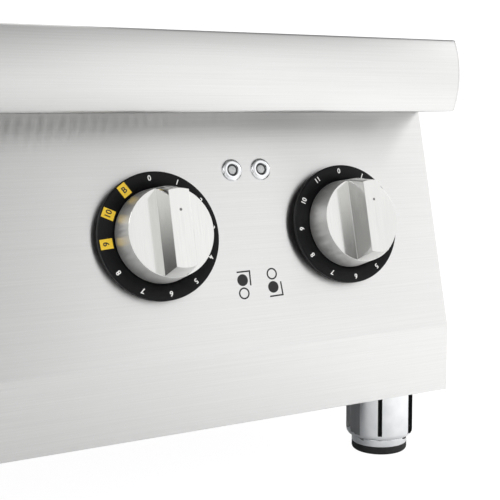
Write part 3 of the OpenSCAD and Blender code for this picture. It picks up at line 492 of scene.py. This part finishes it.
def blackGlassCeramic(plan):
    # Polished black glass-ceramic with the zones printed under a glossy coat
    made, tree, shader, coords = startMaterial("blackGlassCeramic")
    for socket, key in (("IOR", "ior"), ("Coat Weight", "coat"), ("Coat Roughness", "coatRough")):
        shader.inputs[socket].default_value = plan[key]
    reach = zoneReach(tree, coords)
    lines = None
    for radius in plan["ringRadii"]:
        off = mathNode(tree, "SUBTRACT", reach, radius)
        far = mathNode(tree, "ABSOLUTE", off.outputs[0])
        ring = mathNode(tree, "LESS_THAN", far.outputs[0], plan["line"] / 2)
        if lines is None:
            lines = ring
        else:
            lines = mathNode(tree, "MAXIMUM", lines.outputs[0], ring.outputs[0])
    speck = addNode(tree, "ShaderNodeTexNoise", {"Scale": 1 / plan["speck"], "Detail": 2.0},
                    {"Vector": coords.outputs["Object"]})
    tint = toneRamp(tree, speck.outputs["Fac"], *plan["tones"])
    colour = addNode(tree, "ShaderNodeMix", {"data_type": "RGBA"}, {0: lines.outputs[0]})
    tree.links.new(tint, colour.inputs[colourA])
    colour.inputs[colourB].default_value = hexLinear(plan["ink"])
    gloss = ranged(tree, lines.outputs[0], (0.0, 1.0), plan["rough"])
    tree.links.new(colour.outputs[colourOut], shader.inputs["Base Color"])
    tree.links.new(gloss.outputs[0], shader.inputs["Roughness"])
    return made


copperPlan = {"turns": 4.9 * mm, "strand": 0.8 * mm, "rough": (0.45, 0.28),
              "tones": ("#6b3a22", "#c07a4c", 0.05, 0.5)}  # two colours, and where each is reached


def woundCopper(plan):
    # Stranded copper wound flat: bands of bundled wire, dark between the turns
    made, tree, shader, coords = startMaterial("woundCopper")
    shader.inputs["Metallic"].default_value = 1.0
    reach = zoneReach(tree, coords)
    band = mathNode(tree, "MULTIPLY", reach, 2 * math.pi / plan["turns"])
    wave = mathNode(tree, "SINE", band.outputs[0])
    level = ranged(tree, wave.outputs[0], (-1.0, 1.0))
    strands = addNode(tree, "ShaderNodeTexNoise", {"Scale": 1 / plan["strand"], "Detail": 3.0},
                      {"Vector": coords.outputs["Object"]})
    both = mathNode(tree, "MULTIPLY", level.outputs[0], strands.outputs["Fac"])
    gloss = ranged(tree, both.outputs[0], (0.0, 1.0), plan["rough"])
    tree.links.new(toneRamp(tree, both.outputs[0], *plan["tones"]), shader.inputs["Base Color"])
    tree.links.new(gloss.outputs[0], shader.inputs["Roughness"])
    return made


boardPlan = {"pad": 3.2 * mm, "coat": 0.4, "rough": (0.3, 0.45),
             "varnish": {"Color1": "#1d5a35", "Color2": "#256b40", "Mortar": "#143f26"},
             "tracks": {"Mortar Size": 0.04, "Brick Width": 0.7, "Row Height": 0.3}}


def printedBoard(plan):
    # Glass-epoxy board: green varnish over a maze of copper tracks
    made, tree, shader, coords = startMaterial("printedBoard")
    shader.inputs["Coat Weight"].default_value = plan["coat"]
    tracks = addNode(tree, "ShaderNodeTexBrick", {"Scale": 1 / (8 * plan["pad"]), **plan["tracks"]},
                     {"Vector": coords.outputs["Object"]})
    for socket, code in plan["varnish"].items():
        tracks.inputs[socket].default_value = hexLinear(code)
    fleck = addNode(tree, "ShaderNodeTexNoise", {"Scale": 1 / plan["pad"], "Detail": 2.0},
                    {"Vector": coords.outputs["Object"]})
    gloss = ranged(tree, fleck.outputs["Fac"], (0.0, 1.0), plan["rough"])
    tree.links.new(tracks.outputs["Color"], shader.inputs["Base Color"])
    tree.links.new(gloss.outputs[0], shader.inputs["Roughness"])
    return made


slotLooks = {
    "stainless": steelSheet,
    "chrome": looks["polishedChrome"],
    "knob_metal": knobMetal,
    "dial_black": dialDisc,
    "lens": looks["frostedLens"],
    "rubber": looks["mouldedRubber"],
    "glass_ceramic": blackGlassCeramic(glassPlan),
    "silicone": looks["greySilicone"],
    "copper": woundCopper(copperPlan),
    "former_plastic": looks["glassFilledMoulding"],
    "ferrite": looks["sinteredFerrite"],
    "mica": looks["pressedMica"],
    "sensor_white": looks["firedAlumina"],
    "sensor_silicone": looks["redSilicone"],
    "aluminium": looks["millAluminium"],
    "board_green": printedBoard(boardPlan),
    "component_dark": looks["darkEpoxyCases"],
    "fan_plastic": looks["fanMoulding"],
    "terminal_plastic": looks["terminalPolyamide"],
    "gland_plastic": looks["glandPolyamide"],
    "brass_nut": looks["platedBrass"],
    "steel": looks["turnedSteel"],
    "zinc": looks["brightZincPlate"],
}
slotOf = {row["node"]: row["material_slot"] for row in frame["record"]["subparts"]}
sideNodes = ("side_panel_left", "side_panel_right", "bullnose_end_caps")
for name, item in nodes.items():
    look = steelSides if name in sideNodes else slotLooks[slotOf[name]]
    item.data.materials.clear()
    item.data.materials.append(look)
print("materials set")


def placePiece(name, mesh, body, look, gone=()):  # a finished piece on its body
    piece = bpy.data.objects.new(name, mesh)
    scene.collection.objects.link(piece)
    mesh.materials.clear()
    mesh.materials.append(look)
    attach(piece, body)
    if gone:
        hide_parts(*gone)
    return piece


weldReach = 0.001 * mm
flatWithin = 0.5  # degrees between faces that count as one
bevelSmooth = 18  # degrees, less than one step of a bevel, so that flat faces stay flat


def smoothMesh(mesh, angle=32):
    for face in mesh.polygons:
        face.use_smooth = True
    mesh.set_sharp_from_angle(angle=math.radians(angle))


def softEdges(node, body, width, segments=2, angle=30, look=None):
    # The same solid with its edges broken, as a finished piece has them
    source = nodes[node]
    work = bmesh.new()
    work.from_mesh(source.data)
    bmesh.ops.remove_doubles(work, verts=work.verts, dist=weldReach)
    bmesh.ops.dissolve_limit(work, angle_limit=math.radians(flatWithin), verts=work.verts, edges=work.edges)
    limit = math.radians(angle)
    edges = [e for e in work.edges if len(e.link_faces) == 2 and e.calc_face_angle(0) > limit]
    bmesh.ops.bevel(work, geom=edges, offset=width * mm, segments=segments, profile=0.5, affect="EDGES",
                    clamp_overlap=True)
    mesh = bpy.data.meshes.new(node + "Finished")
    work.to_mesh(mesh)
    work.free()
    smoothMesh(mesh, bevelSmooth)
    return placePiece(mesh.name, mesh, body, look or source.data.materials[0], (node,))


inkThick = 0.06 * mm
capShare = 0.7  # the height of a figure, as a share of its font size


def flatInk(outlines, thick=inkThick):
    # Closed outlines as a thin solid, with holes where one lies in another
    curve = bpy.data.curves.new("outline", "CURVE")
    curve.dimensions = "2D"
    curve.fill_mode = "BOTH"
    curve.extrude = thick / 2
    for points in outlines:
        line = curve.splines.new("POLY")
        line.points.add(len(points) - 1)
        for point, (x, y) in zip(line.points, points):
            point.co = (x, y, 0, 1)
        line.use_cyclic_u = True
    return curveMesh(curve)


def curveMesh(curve):
    holder = bpy.data.objects.new("holder", curve)
    scene.collection.objects.link(holder)
    mesh = bpy.data.meshes.new_from_object(holder.evaluated_get(bpy.context.evaluated_depsgraph_get()))
    bpy.data.objects.remove(holder)
    return mesh


def figure(text, height, weight=0.1 * mm):  # bold plain figures, centred
    curve = bpy.data.curves.new("figure", "FONT")
    curve.body = text
    curve.size = height / capShare
    curve.extrude = inkThick / 2
    curve.offset = weight
    curve.align_x = "CENTER"
    curve.align_y = "CENTER"
    return curveMesh(curve)


def joinMeshes(name, parts):  # parts: (mesh, matrix)
    work = bmesh.new()
    for mesh, matrix in parts:
        mesh.transform(matrix)
        work.from_mesh(mesh)
        bpy.data.meshes.remove(mesh)
    bmesh.ops.remove_doubles(work, verts=work.verts, dist=weldReach)
    bmesh.ops.recalc_face_normals(work, faces=work.faces)
    joined = bpy.data.meshes.new(name)
    work.to_mesh(joined)
    work.free()
    return joined


def circlePoints(radius, count=48, centre=(0, 0)):
    step = 2 * math.pi / count
    return [(centre[0] + radius * math.cos(i * step), centre[1] + radius * math.sin(i * step))
            for i in range(count)]


def turned(name, profile, frames, count=64):
    # A closed (radius, height) profile turned about local Z at each frame
    work = bmesh.new()
    for base in frames:
        rings = []
        for radius, height in profile:
            if radius < weldReach:
                around = [(0, 0)]
            else:
                around = circlePoints(radius, count)
            rings.append([work.verts.new(base @ Vector((x, y, height))) for x, y in around])
        for i, ring in enumerate(rings):
            after = rings[(i + 1) % len(rings)]
            if len(ring) == 1 and len(after) == 1:
                continue
            for j in range(count):
                k = (j + 1) % count
                corners = [ring[j % len(ring)], ring[k % len(ring)], after[k % len(after)],
                           after[j % len(after)]]
                work.faces.new(list(dict.fromkeys(corners)))
    bmesh.ops.recalc_face_normals(work, faces=work.faces)
    mesh = bpy.data.meshes.new(name)
    work.to_mesh(mesh)
    work.free()
    smoothMesh(mesh)
    return mesh


# Casing sheets with their edges broken
facesDown = -0.95  # the upward part of a normal below which a face is an underside
sheets = {n: softEdges(n, "chassis", width=0.25, segments=1, angle=40)
          for n in ("worktop", "control_panel", "side_panel_left", "side_panel_right", "rear_panel")}
underside = sheets["worktop"].data
underside.materials.append(paintedShadeSteel)
# The worktop's downward faces take the darker steel: painted shade
for face in underside.polygons:
    if face.normal.z < facesDown:
        face.material_index = 1
softEdges("bullnose_end_caps", "chassis", width=0.5, segments=3, angle=40, look=steelSheet)
softEdges("glass_plate", "chassis", width=0.8, segments=3)
print("casing finished")

knobPlan = {"edge": 0.5, "dot": 0.9 * mm, "dotUp": 11.0 * mm, "dotThick": 0.04 * mm,
            "knobTall": 41.5 * mm,  # from the panel to the front of the grip
            "drumTall": 24.5 * mm, "drumCoarse": 0.32,
            "steep": 0.6,  # faces whose normal leans less than this towards the front count as sides
            "flatOver": 1e-4}  # square metres: larger faces are ground flat


def makeKnobs(plan):
    for n, place in knobAt.items():
        knob = softEdges(f"knob_{n}", f"knob_{n}", plan["edge"], segments=3, angle=25)
        knob.data.attributes.new("smearAlong", "FLOAT_VECTOR", "FACE")
        knob.data.attributes.new("coarseness", "FLOAT", "FACE")
        along, coarse = (knob.data.attributes[k] for k in ("smearAlong", "coarseness"))
        foot = panelFrame(place.x, knobUp).translation
        for face in knob.data.polygons:
            steep = abs(face.normal.dot(slopeOut)) < plan["steep"]
            low = (face.center - foot).dot(slopeOut) < plan["drumTall"]
            along.data[face.index].vector = slopeOut if steep else sideways
            coarse.data[face.index].value = plan["drumCoarse"] if steep and low else 0.0
            face.use_smooth = face.area < plan["flatOver"]
        spot = panelFrame(place.x, knobUp + plan["dotUp"], plan["knobTall"] + plan["dotThick"] / 2)
        mark = flatInk([circlePoints(plan["dot"], 24)], plan["dotThick"])
        placePiece(f"knobMark{n}", joinMeshes(f"knobMark{n}", [(mark, spot)]), f"knob_{n}",
                   looks["punchMark"])


makeKnobs(knobPlan)
print("knobs finished")

dialPlan = {
    "figureRadius": 36.6 * mm,
    "figureHeight": 3.3 * mm,
    "boostHeight": 3.3 * mm * 1.15,
    "apart": 30,  # degrees from one figure to the next
    "smooth": 25,
    "boxAcross": 6.3 * mm,
    "boxAlong": 8.2 * mm,
    "boxRadius": 36.0 * mm,
    "faceOut": 7.0 * mm,
    # one dial of each pair ends in boost steps, printed on yellow
    "boosted": {"figures": ["0", "1", "2", "3", "4", "5", "6", "7", "8", "9", "10", "B"],
                "boxes": (9, 10, 11), "turn": 4.8},
    "plain": {"figures": [str(i) for i in range(12)], "boxes": (), "turn": 2.4},
    "order": {1: "plain", 2: "boosted", 3: "boosted", 4: "plain"},
}


def makeDials(plan):
    for n, place in knobAt.items():
        scale = plan[plan["order"][n]]
        source = nodes[f"dial_plate_{n}"]
        mesh = source.data.copy()
        work = bmesh.new()
        work.from_mesh(mesh)
        bmesh.ops.remove_doubles(work, verts=work.verts, dist=weldReach)
        work.to_mesh(mesh)
        work.free()
        outward = mesh.attributes.new("outward", "FLOAT_VECTOR", "POINT")
        for i, vertex in enumerate(mesh.vertices):
            arm = vertex.co - place
            outward.data[i].vector = arm - slopeOut * arm.dot(slopeOut)
        smoothMesh(mesh, plan["smooth"])
        placePiece(f"dialDisc{n}", mesh, "chassis", dialDisc, (f"dial_plate_{n}",))
        white, boxes, dark = [], [], []
        for step, text in enumerate(scale["figures"]):
            angle = math.radians(scale["turn"] - plan["apart"] * step)
            hub = panelFrame(place.x, knobUp, plan["faceOut"] + inkThick / 2, angle)
            if step in scale["boxes"]:
                w, h = plan["boxAcross"] / 2, plan["boxAlong"] / 2
                middle = hub @ Matrix.Translation((0, plan["boxRadius"], 0))
                boxes.append((flatInk([[(-w, -h), (w, -h), (w, h), (-w, h)]]), middle))
                lifted = middle @ Matrix.Translation((0, 0, inkThick))
                dark.append((figure(text, plan["boostHeight"]), lifted))
            else:
                spot = hub @ Matrix.Translation((0, plan["figureRadius"], 0))
                white.append((figure(text, plan["figureHeight"]), spot))
        placePiece(f"dialFigures{n}", joinMeshes(f"dialFigures{n}", white), "chassis", looks["whiteInk"])
        if boxes:
            placePiece(f"boostBoxes{n}", joinMeshes(f"boostBoxes{n}", boxes), "chassis", looks["yellowInk"])
            placePiece(f"boostFigures{n}", joinMeshes(f"boostFigures{n}", dark), "chassis",
                       looks["blackInk"])


makeDials(dialPlan)
print("dials finished")

iconPlan = {"dot": 3.9 * mm, "line": 1.0 * mm}
# In millimetres from the middle of the body, and up the slope from the fold
zoneIcons = [
    {"full": (137.5, 46.1), "open": (137.6, 37.4),
     "bracket": ((133.8, 51.5), (143.3, 51.7), (143.1, 42.2))},
    {"full": (159.8, 39.8), "open": (159.8, 48.6),
     "bracket": ((165.8, 43.0), (166.4, 34.1), (156.5, 33.7))},
]


def strokeOutline(points, width):  # a bent line of two legs as a closed outline
    a, b, c = (Vector(p) for p in points)
    first, second = (b - a).normalized(), (c - b).normalized()
    half = width / 2
    out1, out2 = Vector((first.y, -first.x)) * half, Vector((second.y, -second.x)) * half
    mitre = (out1 + out2) / (1 + out1.dot(out2) / half ** 2)
    return [tuple(p) for p in (a + out1, b + mitre, c + out2, c - out2, b - mitre, a - out1)]


def makeIcons(plan):
    parts = []
    for side in (-1, 1):
        for icon in zoneIcons:
            outlines = []
            fullAt, openAt = ((side * icon[k][0] * mm, icon[k][1] * mm) for k in ("full", "open"))
            bracket = [(side * x * mm, y * mm) for x, y in icon["bracket"]]
            outlines.append([circlePoints(plan["dot"], 40, fullAt)])
            outlines.append([circlePoints(plan["dot"], 40, openAt),
                             circlePoints(plan["dot"] - plan["line"], 40, openAt)])
            outlines.append([strokeOutline(bracket, plan["line"])])
            for shape in outlines:
                parts.append((flatInk(shape), panelFrame(0, 0, inkThick / 2)))
    placePiece("zoneIcons", joinMeshes("zoneIcons", parts), "chassis", looks["blackInk"])


makeIcons(iconPlan)
print("icons printed")

lampPlan = {"lens": 2.8 * mm, "ring": 3.72 * mm, "domed": 0.9 * mm, "base": -9.5 * mm, "rim": 7.45 * mm,
            "round": 2.3 * mm, "tall": 1.6 * mm, "body": 5.6 * mm, "lip": 4.2 * mm, "clear": 0.04 * mm,
            "glassUp": 0.6 * mm, "gasketUp": 1.1 * mm, "gasketIn": (0.1 * mm, 0.9 * mm), "rimUp": 0.1 * mm,
            "lipDown": 0.6 * mm, "pairX": 150 * mm, "besidePair": 10.8 * mm, "upSlope": 119 * mm,
            "steps": 6}


def makeLamps(plan):
    frames = [panelFrame(pair * plan["pairX"] + side * plan["besidePair"], plan["upSlope"])
              for pair in (-1, 1) for side in (-1, 1)]
    base, glass, ring, clear = plan["base"], plan["lens"], plan["ring"], plan["clear"]
    arcs = [i * math.pi / 2 / plan["steps"] for i in range(plan["steps"] + 1)]
    dome = [(glass * math.cos(a), plan["domed"] * math.sin(a) + plan["glassUp"]) for a in arcs[:-1]]
    lens = [(0, base), (glass, base)] + dome + [(0, plan["domed"] + plan["glassUp"])]
    gasketOut, gasketTop = plan["gasketIn"]
    gasket = [(glass, base), (ring, base), (ring, plan["gasketUp"]), (glass + gasketOut, gasketTop),
              (glass, plan["glassUp"])]
    rim = plan["rim"]
    shoulder = [(rim - plan["round"] * (1 - math.cos(a)), plan["rimUp"] + plan["tall"] * math.sin(a))
                for a in arcs]
    bezel = [(ring + clear, base), (plan["body"], base), (plan["body"], 0), (rim, 0)] + shoulder
    bezel += [(plan["lip"], plan["rimUp"] + plan["tall"]), (ring + clear, plan["tall"] - plan["lipDown"])]
    placePiece("lampBezels", turned("lampBezels", bezel, frames, 64), "chassis", looks["polishedChrome"],
               ("lamp_bezels",))
    placePiece("lampLenses", turned("lampLenses", lens, frames, 40), "chassis", looks["frostedLens"],
               ("lamp_lenses",))
    placePiece("lampGaskets", turned("lampGaskets", gasket, frames, 40), "chassis", looks["darkGasket"])


makeLamps(lampPlan)
print("lamps finished")


def startTree(name, inputs):  # a Geometry Nodes tree with named sizes
    tree = bpy.data.node_groups.new(name, "GeometryNodeTree")
    tree.is_modifier = True
    tree.interface.new_socket(name="Geometry", in_out="INPUT", socket_type="NodeSocketGeometry")
    sockets = {label: tree.interface.new_socket(name=label, in_out="INPUT",
                                                socket_type="NodeSocketFloat").identifier
               for label in inputs}
    tree.interface.new_socket(name="Geometry", in_out="OUTPUT", socket_type="NodeSocketGeometry")
    return tree, sockets, addNode(tree, "NodeGroupInput").outputs


def endTree(tree, instances, look):
    real = addNode(tree, "GeometryNodeRealizeInstances", links={0: instances})
    paint = addNode(tree, "GeometryNodeSetMaterial", {"Material": look}, {"Geometry": real.outputs[0]})
    addNode(tree, "NodeGroupOutput", links={0: paint.outputs[0]})


def grownMesh(name, tree, sockets, values, points=((0, 0, 0),)):
    seed = bpy.data.meshes.new(name)
    seed.from_pydata(points, [], [])
    holder = bpy.data.objects.new(name, seed)
    scene.collection.objects.link(holder)
    grow = holder.modifiers.new("grow", "NODES")
    grow.node_group = tree
    for label, value in values.items():
        grow[sockets[label]] = value
    made = bpy.data.meshes.new_from_object(holder.evaluated_get(bpy.context.evaluated_depsgraph_get()))
    holder.modifiers.remove(grow)
    bpy.data.objects.remove(holder)
    return made


filterPlan = {"pitch": 4.0 * mm, "wire": 1.0 * mm, "layerGap": 1.4 * mm}


def makeFilterMesh(plan):
    # Crossed wires in two layers, pressed into the cassette
    tree, sockets, sizes = startTree("filterWires", ("Length", "Span", "Pitch", "Wire"))
    count = mathNode(tree, "DIVIDE", sizes["Span"], sizes["Pitch"])
    back = mathNode(tree, "MULTIPLY", sizes["Span"], -0.5)
    first = mathNode(tree, "MULTIPLY_ADD", sizes["Pitch"], 0.5, back.outputs[0])
    start = addNode(tree, "ShaderNodeCombineXYZ", links={"Y": first.outputs[0]})
    step = addNode(tree, "ShaderNodeCombineXYZ", links={"Y": sizes["Pitch"]})
    row = addNode(tree, "GeometryNodeMeshLine", {"mode": "OFFSET"},
                  {"Count": count.outputs[0], "Start Location": start.outputs[0],
                   "Offset": step.outputs[0]})
    bar = addNode(tree, "ShaderNodeCombineXYZ",
                  links={"X": sizes["Length"], "Y": sizes["Wire"], "Z": sizes["Wire"]})
    wire = addNode(tree, "GeometryNodeMeshCube", links={"Size": bar.outputs[0]})
    rows = addNode(tree, "GeometryNodeInstanceOnPoints",
                   links={"Points": row.outputs[0], "Instance": wire.outputs[0]})
    endTree(tree, rows.outputs[0], looks["millAluminium"])
    low, high = boxCorners("filter_mesh")
    middle = (low + high) / 2
    parts = []
    for span, length, turn, layer in ((high.y - low.y, high.x - low.x, 0.0, -0.5),
                                      (high.x - low.x, high.y - low.y, math.pi / 2, 0.5)):
        values = {"Length": length, "Span": span, "Pitch": plan["pitch"], "Wire": plan["wire"]}
        lift = Vector((0, 0, layer * plan["layerGap"]))
        parts.append((grownMesh("wires", tree, sockets, values),
                      Matrix.Translation(middle + lift) @ Matrix.Rotation(turn, 4, "Z")))
    work = joinMeshes("filterMesh", parts)
    placePiece("filterMesh", work, "filter", looks["millAluminium"],
               ("filter_mesh",))


screwPlan = {"flangeIn": 9 * mm, "heights": (24 * mm, 100 * mm), "topDown": 24 * mm, "headRadius": 3.8 * mm,
             "headTall": 2.0 * mm, "key": 2.3 * mm, "keyDeep": 1.3 * mm, "shank": 2 * mm}


def makeScrews(plan):
    # Pan heads with a hexagon socket, on the rear panel
    tree, sockets, sizes = startTree("panHeads", ("Radius", "Tall", "Key", "Deep"))
    head = addNode(tree, "GeometryNodeMeshCylinder", {"Vertices": 40},
                   {"Radius": sizes["Radius"], "Depth": sizes["Tall"]})
    key = addNode(tree, "GeometryNodeMeshCylinder", {"Vertices": 6},
                  {"Radius": sizes["Key"], "Depth": sizes["Deep"]})
    half = mathNode(tree, "MULTIPLY", sizes["Tall"], 0.5)
    lift = addNode(tree, "ShaderNodeCombineXYZ", links={"Z": half.outputs[0]})
    moved = addNode(tree, "GeometryNodeTransform",
                    links={"Geometry": key.outputs[0], "Translation": lift.outputs[0]})
    cut = addNode(tree, "GeometryNodeMeshBoolean", {"operation": "DIFFERENCE"},
                  {"Mesh 1": head.outputs[0], "Mesh 2": moved.outputs[0]})
    source = next(node for node in tree.nodes if node.bl_idname == "NodeGroupInput")
    spots = addNode(tree, "GeometryNodeInstanceOnPoints", {"Rotation": (-math.pi / 2, 0, 0)},
                    {"Points": source.outputs["Geometry"], "Instance": cut.outputs[0]})
    endTree(tree, spots.outputs[0], looks["brightZincPlate"])
    low, high = boxCorners("casing_screws")
    heights = [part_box("base_plate")[0][2] + h for h in plan["heights"]] + [panelHigh.z - plan["topDown"]]
    reach = panelHigh.x - plan["flangeIn"]
    points = [(side * reach, high.y - plan["headTall"] / 2, z) for side in (-1, 1) for z in heights]
    values = {"Radius": plan["headRadius"], "Tall": plan["headTall"], "Key": plan["key"],
              "Deep": 2 * plan["keyDeep"]}
    heads = grownMesh("screwHeads", tree, sockets, values, points)
    end, shank, under = low.y - high.y, plan["shank"], -plan["headTall"]
    frames = [Matrix.Translation((x, high.y, z)) @ Matrix.Rotation(-math.pi / 2, 4, "X")
              for x, y, z in points]
    shanks = turned("shanks", [(0, end), (shank, end), (shank, under), (0, under)], frames, 16)
    whole = joinMeshes("casingScrews", [(heads, Matrix()), (shanks, Matrix())])
    smoothMesh(whole)
    placePiece("casingScrews", whole, "chassis", looks["brightZincPlate"],
               ("casing_screws",))


glandPlan = {"ribs": 28, "capRadius": 19.2 * mm, "rib": (1.4 * mm, 1.3 * mm, 11 * mm), "capEnd": 7.5 * mm}


def makeGlandGrip(plan):
    # Grip ribs round the clamping cap
    tree, sockets, sizes = startTree("capRibs", ("Ribs", "Radius"))
    ring = addNode(tree, "GeometryNodeMeshCircle",
                   links={"Vertices": sizes["Ribs"], "Radius": sizes["Radius"]})
    rib = addNode(tree, "GeometryNodeMeshCube", {"Size": plan["rib"]})
    place = addNode(tree, "GeometryNodeInputPosition")
    face = addNode(tree, "FunctionNodeAlignRotationToVector", {"axis": "X"}, {"Vector": place.outputs[0]})
    spots = addNode(tree, "GeometryNodeInstanceOnPoints",
                    links={"Points": ring.outputs[0], "Instance": rib.outputs[0],
                           "Rotation": face.outputs[0]})
    endTree(tree, spots.outputs[0], looks["glandPolyamide"])
    low, high = boxCorners("cable_gland")
    axis = Matrix.Translation(((low.x + high.x) / 2, high.y - plan["capEnd"], (low.z + high.z) / 2))
    ribs = grownMesh("glandRibs", tree, sockets, {"Ribs": plan["ribs"], "Radius": plan["capRadius"]})
    grip = joinMeshes("glandGrip", [(ribs, axis @ Matrix.Rotation(-math.pi / 2, 4, "X"))])
    placePiece("glandGrip", grip, "chassis", looks["glandPolyamide"])
    softEdges("cable_gland", "chassis", width=0.5, angle=40)


makeFilterMesh(filterPlan)
makeScrews(screwPlan)
makeGlandGrip(glandPlan)
for n in (1, 2, 3, 4):
    softEdges(f"foot_insert_{n}", f"foot_{n}", width=0.4, angle=40)
print("small parts finished")
